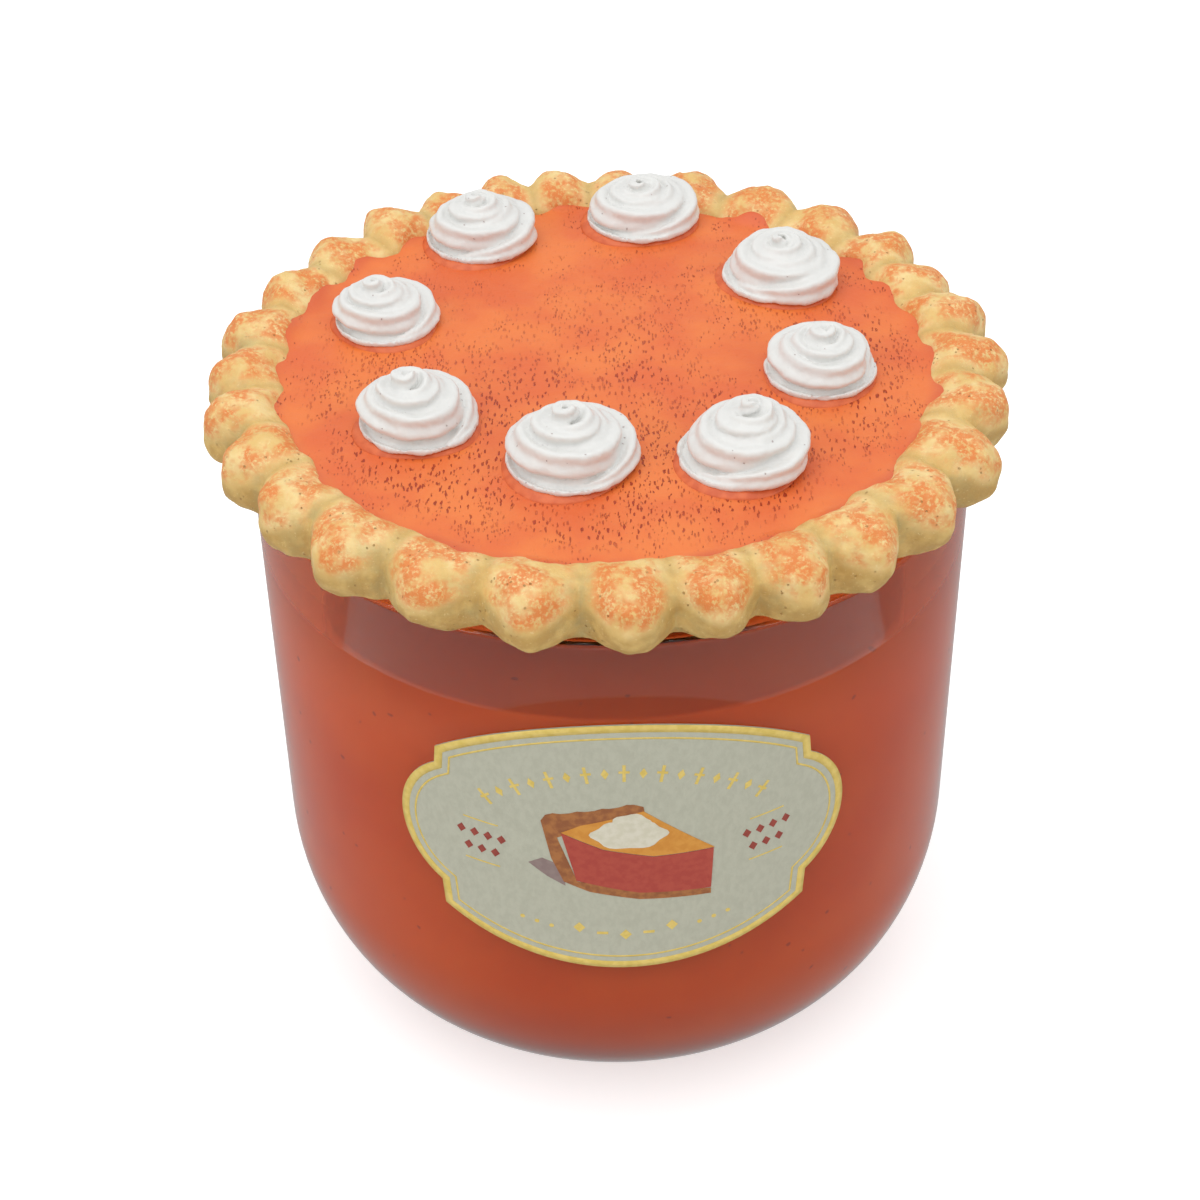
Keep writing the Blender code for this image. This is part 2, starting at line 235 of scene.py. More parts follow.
class Look:
    """A Principled material and short calls that add nodes to it."""

    def __init__(self, name, roughness, colour=(0.8, 0.8, 0.8)):
        self.material = bpy.data.materials.new(name)
        self.material.use_nodes = True
        self.tree = self.material.node_tree
        self.shader = self.tree.nodes["Principled BSDF"]
        self.output = self.tree.nodes["Material Output"]
        self.shader.inputs["Base Color"].default_value = (*colour, 1.0)
        self.shader.inputs["Roughness"].default_value = roughness
        self.place = self.node("ShaderNodeTexCoord").outputs["Object"]

    def node(self, kind, **values):
        made = self.tree.nodes.new(kind)
        for name, value in values.items():
            setattr(made, name, value)
        return made

    def link(self, source, target):
        self.tree.links.new(source, target)

    def feed(self, socket, value):
        """Set a socket to a number or colour, or link it to another node's output."""
        if isinstance(value, bpy.types.NodeSocket):
            self.link(value, socket)
        else:
            socket.default_value = (*value, 1.0) if isinstance(value, tuple) and len(value) == 3 else value

    def attribute(self, name):
        return self.node("ShaderNodeAttribute", attribute_name=name).outputs["Fac"]

    def noise(self, size_mm, detail=2.0, roughness=0.5, stretch=(1.0, 1.0, 1.0)):
        """Noise from 0 to 1 with blotches about size_mm across."""
        mapping = self.node("ShaderNodeMapping")
        mapping.inputs["Scale"].default_value = [1000.0 / size_mm / way for way in stretch]
        self.link(self.place, mapping.inputs["Vector"])
        made = self.node("ShaderNodeTexNoise")
        made.inputs["Scale"].default_value = 1.0
        made.inputs["Detail"].default_value = detail
        made.inputs["Roughness"].default_value = roughness
        self.link(mapping.outputs["Vector"], made.inputs["Vector"])
        return made.outputs["Fac"]

    def cells(self, size_mm, stretch=(1.0, 1.0, 1.0), ragged=0.25):
        """Distance to the nearest of scattered points about size_mm apart, as a share of size_mm."""
        mapping = self.node("ShaderNodeMapping")
        mapping.inputs["Scale"].default_value = [1000.0 / size_mm / way for way in stretch]
        self.link(self.place, mapping.inputs["Vector"])
        shake = self.node("ShaderNodeTexNoise")
        shake.inputs["Scale"].default_value = 2.6
        self.link(mapping.outputs["Vector"], shake.inputs["Vector"])
        moved = self.node("ShaderNodeVectorMath", operation="MULTIPLY_ADD")
        self.link(shake.outputs["Color"], moved.inputs[0])
        moved.inputs[1].default_value = (ragged, ragged, ragged)
        self.link(mapping.outputs["Vector"], moved.inputs[2])
        made = self.node("ShaderNodeTexVoronoi")
        made.inputs["Scale"].default_value = 1.0
        self.link(moved.outputs["Vector"], made.inputs["Vector"])
        return made.outputs["Distance"]

    def ramp(self, value, low, high, start=0.0, end=1.0):
        """Value carried from low..high to start..end and held there."""
        made = self.node("ShaderNodeMapRange", clamp=True)
        made.interpolation_type = "SMOOTHSTEP"
        self.feed(made.inputs["Value"], value)
        made.inputs["From Min"].default_value = low
        made.inputs["From Max"].default_value = high
        made.inputs["To Min"].default_value = start
        made.inputs["To Max"].default_value = end
        return made.outputs["Result"]

    def maths(self, operation, first, second=0.0):
        made = self.node("ShaderNodeMath", operation=operation)
        self.feed(made.inputs[0], first)
        self.feed(made.inputs[1], second)
        return made.outputs[0]

    def distance_from_axis(self):
        """Distance from the object's own Z axis, in metres."""
        flat = self.node("ShaderNodeVectorMath", operation="MULTIPLY")
        self.link(self.place, flat.inputs[0])
        flat.inputs[1].default_value = (1.0, 1.0, 0.0)
        length = self.node("ShaderNodeVectorMath", operation="LENGTH")
        self.link(flat.outputs["Vector"], length.inputs[0])
        return length.outputs["Value"]

    def mix(self, share, first, second):
        """Colour between first (share 0) and second (share 1)."""
        made = self.node("ShaderNodeMix", data_type="RGBA")
        self.feed(made.inputs["Factor"], share)
        self.feed(made.inputs["A"], first)
        self.feed(made.inputs["B"], second)
        return made.outputs["Result"]

    def bump(self, height, distance_mm):
        """Normal from a height of 0 to 1 that stands for distance_mm."""
        made = self.node("ShaderNodeBump")
        made.inputs["Strength"].default_value = 1.0
        made.inputs["Distance"].default_value = distance_mm * MM
        self.feed(made.inputs["Height"], height)
        return made.outputs["Normal"]

    def paint(self, colour, normal=None):
        self.feed(self.shader.inputs["Base Color"], colour)
        if normal is not None:
            self.link(normal, self.shader.inputs["Normal"])
        return self.material

    def set(self, name, value):
        self.shader.inputs[name].default_value = value

    def let_lamps_through(self):
        """Shadow rays pass, as they do through real clear glass."""
        ray = self.node("ShaderNodeLightPath")
        clear = self.node("ShaderNodeBsdfTransparent")
        both = self.node("ShaderNodeMixShader")
        self.link(ray.outputs["Is Shadow Ray"], both.inputs["Fac"])
        self.link(self.shader.outputs["BSDF"], both.inputs[1])
        self.link(clear.outputs["BSDF"], both.inputs[2])
        self.link(both.outputs["Shader"], self.output.inputs["Surface"])


def glass_look():
    look = Look("clear_glass", 0.02, linear(250, 250, 250))
    look.set("IOR", 1.45)
    look.set("Transmission Weight", 1.0)
    look.let_lamps_through()
    return look.material


def wax_look():
    look = Look("orange_wax", 0.42)
    cloud = look.noise(26.0, 2.0)
    colour = look.mix(look.ramp(cloud, 0.35, 0.65), linear(222, 86, 26), linear(229, 96, 32))
    apart = look.node("ShaderNodeSeparateXYZ")
    look.link(look.place, apart.inputs["Vector"])
    # Painted shade: the wax darkens over its lowest 10 mm or so, standing in for the dark band that the thick
    # glass base and the shadow under the jar give.
    painted_base_shade = look.ramp(apart.outputs["Z"], 0.004, 0.016, 0.75, 0.0)
    colour = look.mix(painted_base_shade, colour, linear(112, 52, 44))
    specks = look.cells(5.0)
    colour = look.mix(look.ramp(specks, 0.05, 0.10, 0.55, 0.0), colour, linear(150, 60, 44))
    look.set("Specular IOR Level", 0.1)
    look.set("Subsurface Weight", 0.15)
    look.set("Subsurface Radius", (1.0, 0.35, 0.2))
    look.set("Subsurface Scale", 0.002)
    return look.paint(colour)


def paper_look():
    look = Look("label_paper", 0.62)
    fibre = look.noise(0.9, 3.0, 0.6, (1.0, 1.0, 1.6))
    colour = look.mix(look.ramp(fibre, 0.3, 0.7), linear(182, 182, 163), linear(190, 190, 171))
    return look.paint(colour, normal=look.bump(fibre, 0.06))


def ink_look(name, first, second):
    """Printed colour with the paper's faint grain in it."""
    look = Look(name, 0.55)
    grain = look.noise(1.2, 3.0)
    colour = look.mix(look.ramp(grain, 0.35, 0.65), linear(*first), linear(*second))
    return look.paint(colour, normal=look.bump(look.noise(0.9, 3.0), 0.03))


def gold_look():
    look = Look("gold_foil_print", 0.38)
    grain = look.noise(1.1, 3.0)
    colour = look.mix(look.ramp(grain, 0.35, 0.65), linear(226, 197, 98), linear(238, 210, 118))
    look.set("Metallic", 0.15)
    return look.paint(colour, normal=look.bump(grain, 0.03))


def seal_look():
    look = Look("soft_seal", 0.35)
    cloud = look.noise(9.0, 2.0)
    colour = look.mix(look.ramp(cloud, 0.35, 0.65), linear(150, 74, 52), linear(166, 86, 62))
    return look.paint(colour)


def crust_look():
    look = Look("painted_crust", 0.55)
    crown = look.attribute("crown")
    valley = look.attribute("valley")
    cloud = look.noise(4.0, 3.0)
    base = look.mix(look.ramp(cloud, 0.35, 0.68), linear(228, 190, 116), linear(240, 212, 148))
    low = look.mix(look.ramp(look.noise(2.5, 3.0), 0.4, 0.7), linear(196, 156, 84), linear(218, 182, 108))
    base = look.mix(look.ramp(crown, 0.25, 0.65), low, base)
    # Greyer, darker patches along the outer side of the valleys between lobes.
    valley_grey = look.maths("MULTIPLY", valley, look.ramp(look.noise(3.2, 3.0), 0.4, 0.7))
    base = look.mix(look.maths("MULTIPLY", valley_grey, 0.5), base, linear(176, 164, 112))
    # crackly dry-brushed orange on the crowns
    patches = look.ramp(look.noise(4.6, 3.0, 0.6), 0.36, 0.56)
    crackle = look.ramp(look.noise(0.7, 4.0, 0.72), 0.34, 0.54)
    brushed = look.maths("MULTIPLY", look.ramp(crown, 0.40, 0.75), look.maths("MULTIPLY", patches, crackle))
    base = look.mix(look.maths("MULTIPLY", brushed, 0.85), base, linear(226, 120, 46))
    flecks = look.ramp(look.noise(0.45, 3.0, 0.7), 0.60, 0.72)
    base = look.mix(look.maths("MULTIPLY", flecks, 0.35), base, linear(250, 234, 178))
    # pores
    pores = look.ramp(look.cells(1.1), 0.10, 0.18, 1.0, 0.0)
    pores = look.maths("MULTIPLY", pores, look.ramp(look.noise(4.0, 2.0), 0.48, 0.62))
    base = look.mix(look.maths("MULTIPLY", pores, 0.7), base, linear(168, 122, 54))
    height = look.maths("ADD", look.noise(0.8, 4.0, 0.7), look.maths("MULTIPLY", pores, -1.2))
    look.set("Subsurface Weight", 0.1)
    look.set("Subsurface Radius", (1.0, 0.6, 0.3))
    look.set("Subsurface Scale", 0.0012)
    return look.paint(base, normal=look.bump(height, 0.16))


def filling_look():
    look = Look("painted_filling", 0.42)
    cloud = look.noise(15.0, 3.0)
    colour = look.mix(look.ramp(cloud, 0.36, 0.64), linear(224, 104, 50), linear(234, 124, 58))
    colour = look.mix(look.attribute("edge"), colour, linear(216, 98, 50))
    dense = look.ramp(look.noise(11.0, 2.0), 0.30, 0.54)
    large = look.ramp(look.cells(1.15, stretch=(0.5, 1.6, 1.0), ragged=0.7), 0.20, 0.31, 1.0, 0.0)
    large = look.maths("MULTIPLY", large, look.maths("MULTIPLY", dense, look.attribute("open")))
    small = look.ramp(look.cells(0.75, stretch=(0.5, 1.6, 1.0), ragged=0.7), 0.18, 0.28, 1.0, 0.0)
    small = look.maths("MULTIPLY", small, look.ramp(look.noise(5.0, 2.0), 0.5, 0.62, 0.0, 0.8))
    pores = look.maths("MAXIMUM", large, small)
    colour = look.mix(look.maths("MULTIPLY", pores, 0.9), colour, linear(162, 38, 6))
    height = look.maths("SUBTRACT", look.noise(3.0, 3.0), look.maths("MULTIPLY", pores, 0.8))
    look.set("Subsurface Weight", 0.1)
    look.set("Subsurface Radius", (1.0, 0.45, 0.25))
    look.set("Subsurface Scale", 0.0012)
    return look.paint(colour, normal=look.bump(height, 0.22))


def cream_look():
    look = Look("painted_cream", 0.38)
    # Painted shade: fine, broken grey lines along the creases between the rope's turns.
    crease = look.attribute("crease")
    hair = look.ramp(look.noise(0.5, 4.0, 0.7, (1.0, 1.0, 0.5)), 0.55, 0.72)
    crease_shade = look.maths("MULTIPLY", crease, hair)
    colour = look.mix(look.maths("MULTIPLY", crease_shade, 0.55), linear(224, 224, 221), linear(160, 150, 154))
    pits = look.ramp(look.cells(2.1), 0.05, 0.085, 1.0, 0.0)
    colour = look.mix(look.maths("MULTIPLY", pits, 0.6), colour, linear(150, 124, 120))
    height = look.maths("SUBTRACT", look.noise(0.7, 3.0), pits)
    look.set("Subsurface Weight", 0.12)
    look.set("Subsurface Radius", (1.0, 0.95, 0.9))
    look.set("Subsurface Scale", 0.001)
    return look.paint(colour, normal=look.bump(height, 0.05))


def foot_look():
    look = Look("foot_orange_with_shade", 0.45)
    cloud = look.noise(2.0, 3.0)
    # The foot's orange is a little darker and redder than the filling's. The foot is painted with the
    # filling, and the extra darkness is painted shade under the swirl's edge.
    colour = look.mix(look.ramp(cloud, 0.35, 0.65), linear(206, 92, 46), linear(222, 110, 60))
    return look.paint(colour, normal=look.bump(cloud, 0.1))


# ---------------------------------------------------------------- jar, wax and label


def quarter_round(outer_radius, flat_radius, low, high, steps):
    """Points down a quarter ellipse from the wall at height high to the flat at height low."""
    points = []
    for i in range(steps + 1):
        turn = 0.5 * math.pi * i / steps
        radius = flat_radius + (outer_radius - flat_radius) * math.cos(turn)
        points.append((radius, high - (high - low) * math.sin(turn)))
    return points


def jar_radius(height):
    """Outer radius of the jar at a height on its straight wall."""
    return MOUTH_RADIUS - WALL_DRAFT * (JAR_HEIGHT - height) / (JAR_HEIGHT - BASE_ROUND_HEIGHT)


def turned(name, profile, steps=STEPS_ROUND_JAR):
    """Mesh turned round Z from (radius, height) points that start and end on the axis."""
    rows = []
    for radius, height in profile[1:-1]:
        turns = [2 * math.pi * i / steps for i in range(steps)]
        rows.append([(radius * math.cos(turn), radius * math.sin(turn), height) for turn in turns])
    mesh = grid_mesh(name, rows, wrap_columns=True)
    form = bmesh.new()
    form.from_mesh(mesh)
    form.verts.ensure_lookup_table()
    for row, (_, height) in ((0, profile[0]), (len(rows) - 1, profile[-1])):
        middle = form.verts.new((0.0, 0.0, height))
        ring = form.verts[row * steps : (row + 1) * steps]
        for i in range(steps):
            form.faces.new((middle, ring[i], ring[(i + 1) % steps]))
    bmesh.ops.recalc_face_normals(form, faces=form.faces)
    form.to_mesh(mesh)
    form.free()
    mesh.shade_smooth()
    return mesh


def lip_points(steps=8):
    """Rounded lip, from the inner wall over the rim to the outer wall."""
    inner = MOUTH_RADIUS - WALL + LIP_ROUND
    outer = MOUTH_RADIUS - LIP_ROUND
    middle = JAR_HEIGHT - LIP_ROUND
    points = []
    for start, centre in ((math.pi, inner), (0.5 * math.pi, outer)):
        for i in range(steps + 1):
            turn = start - 0.5 * math.pi * i / steps
            points.append((centre + LIP_ROUND * math.cos(turn), middle + LIP_ROUND * math.sin(turn)))
    return points


def make_jar(look):
    wall_foot = jar_radius(BASE_ROUND_HEIGHT)
    inside = quarter_round(wall_foot - WALL, INNER_FLAT_RADIUS, FLOOR_THICKNESS, BASE_ROUND_HEIGHT, 24)
    outside = quarter_round(wall_foot, FOOT_RADIUS, 0.0, BASE_ROUND_HEIGHT, 28)
    profile = [(0.0, FLOOR_THICKNESS), (15.0, FLOOR_THICKNESS)] + inside[::-1] + lip_points() + outside
    profile += [(FOOT_RADIUS - 0.6, 0.0), (15.0, 0.0), (0.0, 0.0)]
    new_piece("glass_jar", turned("glass_jar", profile), look, ["jar_glass"])


def make_wax(look):
    """Wax that fills the glass up to its level, with a small lip where it meets the wall."""
    wall_foot = jar_radius(BASE_ROUND_HEIGHT) - WALL + INTO_GLASS
    floor = FLOOR_THICKNESS - INTO_GLASS
    side = quarter_round(wall_foot, INNER_FLAT_RADIUS, floor, BASE_ROUND_HEIGHT, 24)
    edge = jar_radius(WAX_LEVEL) - WALL + INTO_GLASS
    level = WAX_LEVEL
    top = [(0.0, level - 0.5), (16.0, level - 0.5), (32.0, level - 0.5), (edge - 6.0, level - 0.45)]
    top += [(edge - 2.5, level - 0.3), (edge - 1.0, level - 0.12), (edge, level)]
    profile = top + [(wall_foot + 0.1, 60.0)] + side + [(15.0, floor), (0.0, floor)]
    new_piece("wax_fill", turned("wax_fill", profile), look, ["wax"])


def arch(distance, middle, corner):
    """Height of a circular arch that is at middle over its centre and at corner over its ends."""
    rise = middle - corner
    radius = (LABEL_HALF_CHORD**2 + rise**2) / (2 * rise)
    return middle - radius + math.copysign(math.sqrt(radius**2 - distance**2), radius)


def ear_edge(height):
    """How far the ear reaches from the label's middle at a height."""
    middle = 0.5 * (EAR_TOP + EAR_BOTTOM)
    half = 0.5 * (EAR_TOP - EAR_BOTTOM)
    reach = EAR_TIP - LABEL_HALF_CHORD - STEP_WIDTH
    radius = (half**2 + reach**2) / (2 * reach)
    return EAR_TIP - radius + math.sqrt(radius**2 - (height - middle) ** 2)


def label_outline(steps=48):
    """Closed outline of the plaque as (distance, height), clockwise from the top left corner."""
    shares = [i / steps for i in range(steps + 1)]
    across = [LABEL_HALF_CHORD * (2 * share - 1) for share in shares]
    right = [EAR_TOP + (EAR_BOTTOM - EAR_TOP) * share for share in shares]
    points = [(x, arch(x, LABEL_TOP, LABEL_TOP_CORNER)) for x in across]
    points += [(ear_edge(height), height) for height in right]
    points += [(x, arch(x, LABEL_BOTTOM, LABEL_BOTTOM_CORNER)) for x in across[::-1]]
    points += [(-ear_edge(height), height) for height in right[::-1]]
    return points


def inset(outline, distance):
    """Outline moved inward by a distance, with its corners kept sharp."""
    count = len(outline)
    moved = []
    for i in range(count):
        before = Vector(outline[i]) - Vector(outline[i - 1])
        after = Vector(outline[(i + 1) % count]) - Vector(outline[i])
        first = Vector((before.y, -before.x)).normalized()
        second = Vector((after.y, -after.x)).normalized()
        both = (first + second) / (1.0 + first.dot(second))
        moved.append(tuple(Vector(outline[i]) + distance * both))
    return moved


def on_wall(distance, height, off):
    """Point off the jar's wall by off, at a distance round it from the label's middle."""
    radius = jar_radius(height) + LABEL_RADIUS_OUT + off
    turn = (distance + LABEL_MIDDLE) / MOUTH_RADIUS
    return (radius * math.sin(turn), -radius * math.cos(turn), height)


def wall_sheet(name, outline, off, thickness):
    """Thin sheet with this outline, bent round the wall: filled flat, cut into strips, then bent."""
    form = bmesh.new()
    corners = [form.verts.new((distance, height, 0.0)) for distance, height in outline]
    form.faces.new(corners)
    bmesh.ops.triangulate(form, faces=form.faces)
    low = min(point[0] for point in outline)
    high = max(point[0] for point in outline)
    for i in range(1, int(high - low)):
        cut = Vector((low + i, 0.0, 0.0))
        everything = form.verts[:] + form.edges[:] + form.faces[:]
        bmesh.ops.bisect_plane(form, geom=everything, plane_co=cut, plane_no=(1.0, 0.0, 0.0), dist=1e-5)
    bmesh.ops.recalc_face_normals(form, faces=form.faces)
    if form.faces[:][0].normal.z < 0:
        bmesh.ops.reverse_faces(form, faces=form.faces)
    for vertex in form.verts:
        vertex.co = on_wall(vertex.co.x, vertex.co.y, off)
    mesh = bpy.data.meshes.new(name)
    form.to_mesh(mesh)
    form.free()
    return solid_sheet(mesh, thickness)


def solid_sheet(mesh, thickness):
    """Closed sheet of a thickness that lies under the given surface."""

    def thicken(holder):
        paper = holder.modifiers.new("paper", "SOLIDIFY")
        paper.thickness = thickness
        paper.offset = -1.0

    return applied(mesh, thicken)


def wall_strip(name, outer, inner, off, thickness):
    """Closed band between two outlines, bent round the wall."""
    rows = []
    for outline in (inner, outer):
        rows.append([on_wall(distance, height, off) for distance, height in outline])
    return solid_sheet(grid_mesh(name, rows, wrap_columns=True), thickness)


def disc(x, y, radius, steps=24):
    """Outline of a round spot, clockwise."""
    turns = [-2 * math.pi * i / steps for i in range(steps)]
    return [(x + radius * math.cos(turn), y + radius * math.sin(turn)) for turn in turns]


def bar(x, y, length, width, tilt=0.0):
    """Outline of a straight bar, clockwise."""
    along = Vector((math.cos(tilt), math.sin(tilt)))
    up = Vector((-along.y, along.x))
    middle = Vector((x, y))
    ends = ((-0.5, 0.5), (0.5, 0.5), (0.5, -0.5), (-0.5, -0.5))
    return [tuple(middle + along * length * a + up * width * b) for a, b in ends]


def diamond(x, y, width, height, tilt=0.0):
    """Outline of a diamond, clockwise."""
    along = Vector((math.cos(tilt), math.sin(tilt)))
    up = Vector((-along.y, along.x))
    middle = Vector((x, y))
    corners = ((-0.5, 0.0), (0.0, 0.5), (0.5, 0.0), (0.0, -0.5))
    return [tuple(middle + along * width * a + up * height * b) for a, b in corners]


def joined(name, meshes):
    """One mesh from several."""
    form = bmesh.new()
    for mesh in meshes:
        form.from_mesh(mesh)
        bpy.data.meshes.remove(mesh)
    result = bpy.data.meshes.new(name)
    form.to_mesh(result)
    form.free()
    return result


def printed(name, outlines, look, off=PRINT_OFF):
    """Several flat shapes of one colour on the label."""
    sheets = [wall_sheet(name, outline, off, PRINT_THICKNESS) for outline in outlines]
    new_piece(name, joined(name, sheets), look)


def arc_row(middle_height, end_height, half_width, count):
    """Places and tilts along an arched row, evenly spaced."""
    rise = middle_height - end_height
    radius = (half_width**2 + rise**2) / (2 * rise)
    half_turn = math.asin(half_width / radius)
    places = []
    for i in range(count):
        turn = half_turn * (2 * i / (count - 1) - 1)
        places.append((radius * math.sin(turn), middle_height - radius * (1 - math.cos(turn)), -turn))
    return places


def make_label(paper, gold, red, crust_ink, top_ink, side_ink, cream_ink, shade_ink):
    outline = label_outline()
    sheet = wall_sheet("label_sheet", outline, 0.0, PAPER_THICKNESS)
    new_piece("label_sheet", sheet, paper, ["label"])
    border = wall_strip("label_border", outline, inset(outline, BORDER_WIDTH), PRINT_OFF, PRINT_THICKNESS)
    new_piece("label_border", border, gold)
    ring = inset(outline, LINE_FROM), inset(outline, LINE_TO)
    line = wall_strip("label_line", *ring, PRINT_OFF, PRINT_THICKNESS)
    new_piece("label_line", line, gold)
    ornament = []
    for i, (x, y, tilt) in enumerate(arc_row(73.3, 66.6, 19.5, 17)):
        if i % 2:
            ornament.append(diamond(x, y, 1.1, 1.9, tilt))
        else:
            ornament.append(bar(x, y, 0.45, 3.0, tilt))
            ornament.append(bar(x, y + 0.2, 1.5, 0.4, tilt))
    for side, tilt in ((-1, -0.1), (1, 0.1)):
        for y in (61.7, 53.9):
            ornament.append(bar(side * 20.4, y, 5.2, 0.22, tilt))
    for i, x in enumerate((-6.6, -3.3, 0.0, 3.3, 6.6)):
        y = 42.4 + 0.03 * x * x
        ornament.append(diamond(x, y, 1.7, 2.0) if i % 2 == 0 else bar(x, y, 1.6, 0.5))
    for side in (-1, 1):
        for i in range(3):
            x = side * (10.6 + 2.1 * i)
            ornament.append(disc(x, 43.6 + 0.55 * i, 0.35, 12))
    printed("label_ornament", ornament, gold)
    bars = []
    for side, tilt in ((-1, -0.1), (1, 0.12)):
        for row, (y, count) in enumerate(((59.2, 4), (56.4, 3))):
            for i in range(count):
                x = side * 20.4 + 2.0 * (i - 0.5 * (count - 1))
                bars.append(diamond(x, y + tilt * 2.0 * (i - 0.5 * (count - 1)), 1.35, 1.7, tilt))
    printed("label_marks", bars, red)
    make_emblem(crust_ink, top_ink, side_ink, cream_ink, shade_ink)


def make_emblem(crust_ink, top_ink, side_ink, cream_ink, shade_ink):
    """Plain wedge of pie in flat colours."""
    shadow = [(-13.6, 55.6), (-11.6, 56.8), (-8.6, 55.6), (-8.4, 51.8), (-11.0, 53.4)]
    back = [(-11.6, 63.9)]
    for i in range(4):
        for share in (0.2, 0.5, 0.8):
            x = -11.6 + 3.4 * (i + share)
            back.append((x, 64.6 + 0.75 * (i + share) * 0.9 + 0.55 * math.sin(math.pi * share)))
    back += [(2.6, 67.0), (2.8, 65.6), (-8.6, 61.4), (-9.4, 61.0), (-6.7, 52.8)]
    back += [(12.2, 49.9), (12.2, 48.9), (2.0, 49.4), (-5.0, 50.9), (-8.6, 52.6), (-10.3, 57.0)]
    top = [(-8.8, 62.0), (-6.0, 63.6), (2.6, 66.2), (12.6, 57.8), (4.0, 57.6), (-3.0, 59.2)]
    side = [(-8.8, 61.9), (-3.0, 59.1), (4.0, 57.5), (12.5, 57.7), (12.2, 50.1), (2.0, 50.7), (-6.8, 53.0)]
    cream = []
    for i in range(36):
        turn = -2 * math.pi * i / 36
        wave = 1.0 + 0.07 * math.cos(6 * turn)
        cream.append((0.6 + 5.2 * wave * math.cos(turn), 61.9 + 2.6 * wave * math.sin(turn)))
    crown = []
    for i in range(24):
        turn = -2 * math.pi * i / 24
        wave = 1.0 + 0.08 * math.cos(5 * turn)
        crown.append((0.9 + 2.7 * wave * math.cos(turn), 64.0 + 1.8 * wave * math.sin(turn)))
    printed("label_wedge_shadow", [shadow], shade_ink)
    printed("label_wedge_crust", [back], crust_ink, 0.05)
    printed("label_wedge_top", [top], top_ink, 0.07)
    printed("label_wedge_side", [side], side_ink, 0.09)
    printed("label_wedge_cream", [cream, crown], cream_ink, 0.11)


# ---------------------------------------------------------------- lid


def lobe_drift(turn):
    """How far the lobes have wandered from even spacing at this angle."""
    return sum(math.radians(size) * math.cos(count * turn) for count, size in LOBE_DRIFT_DEG)


def lobe_size(turn):
    """Size of the nearest lobe, which differs a little from lobe to lobe."""
    number = round(turn * LOBES / (2 * math.pi)) % LOBES
    return 1.0 + LOBE_UNEVENNESS * (math.sin(2.4 * number) + 0.6 * math.sin(5.1 * number + 1.0))


def lobe_share(turn):
    """1 on a lobe and 0 in the rounded valley between two."""
    return (0.5 + 0.5 * math.cos(LOBES * turn)) ** 0.65


def crust_point(turn, around):
    """Radius and height of the crust where its rounded section is at angle around from outward."""
    lobe = lobe_share(turn)
    share = lobe * lobe_size(turn)
    middle = CRUST_MIDDLE_RADIUS + PINCH * (2 * lobe - 1)
    lift = BACK_LIFT * math.exp(-(((turn - BACK_LIFT_AT) / BACK_LIFT_SPREAD) ** 2))
    outward = math.cos(around)
    upward = math.sin(around)
    if outward > 0:
        reach = REACH_IN_VALLEY + (REACH_AT_LOBE - REACH_IN_VALLEY) * share + REACH_TO_RIGHT * math.cos(turn)
    else:
        reach = middle - (CRUST_INNER_RADIUS + 1.3 * (lobe - 0.5))
    if upward > 0:
        rise = CROWN_RISE + LOBE_CROWN * share * (0.55 + 0.45 * lobe_size(1.7 * turn)) + lift
    else:
        rise = CRUST_MIDDLE_HEIGHT - LID_BOTTOM
    power = 0.85
    radius = middle + reach * math.copysign(abs(outward) ** power, outward)
    return radius, CRUST_MIDDLE_HEIGHT + rise * math.copysign(abs(upward) ** power, upward)


def make_crust(look):
    columns = LOBES * 36
    ring = 72
    rows, crown, valley = [], [], []
    for i in range(columns):
        turn = 2 * math.pi * i / columns
        angle = turn + lobe_drift(turn)
        lobe = lobe_share(turn)
        row = []
        for j in range(ring):
            around = 2 * math.pi * j / ring
            radius, height = crust_point(turn, around)
            point = Vector((radius * math.cos(angle), radius * math.sin(angle), height))
            bulge = 0.75 * rough(point, 6.0, 3.0) + 0.32 * rough(point, 2.2, 8.0)
            top = smooth_step(0.0, 0.8, math.sin(around)) * smooth_step(-0.7, -0.2, math.cos(around))
            bulge += (0.04 + 0.06 * top) * rough(point, 0.8, 5.0)
            level = math.cos(around)
            way = Vector((level * math.cos(angle), level * math.sin(angle), math.sin(around)))
            point += bulge * way
            point.z = max(point.z, LID_BOTTOM)
            row.append(tuple(point + LID_SHIFT))
            crown.append((0.4 + 0.6 * lobe) * smooth_step(-0.35, 0.75, math.sin(around + 0.15)))
            valley.append((1.0 - lobe) * smooth_step(-0.6, 0.5, math.cos(around)))
        rows.append(row)
    mesh = grid_mesh("crust_rim", rows, wrap_columns=True, wrap_rows=True)
    mesh.flip_normals()
    add_number(mesh, "crown", crown)
    add_number(mesh, "valley", valley)
    new_piece("crust_rim", mesh, look, ["pie_crust"])


def filling_height(x, y):
    """Height of the filling's surface at a place measured from the lid's middle."""
    radius = math.hypot(x, y)
    turn = math.atan2(y, x)
    dome = FILLING_DOME * (1.0 - (radius / CRUST_INNER_RADIUS) ** 2)
    waves = 0.12 * rough((x, y, 0.0), 14.0, 2.0) + 0.05 * rough((x, y, 0.0), 4.0, 6.0)
    lobe = lobe_share(turn - lobe_drift(turn))
    climb = (0.9 + 0.7 * rough((9.0 * math.cos(turn), 9.0 * math.sin(turn), 0.0), 3.0, 4.0)) * lobe
    return FILLING_TOP + dome + waves + climb * smooth_step(45.4, 49.0, radius)


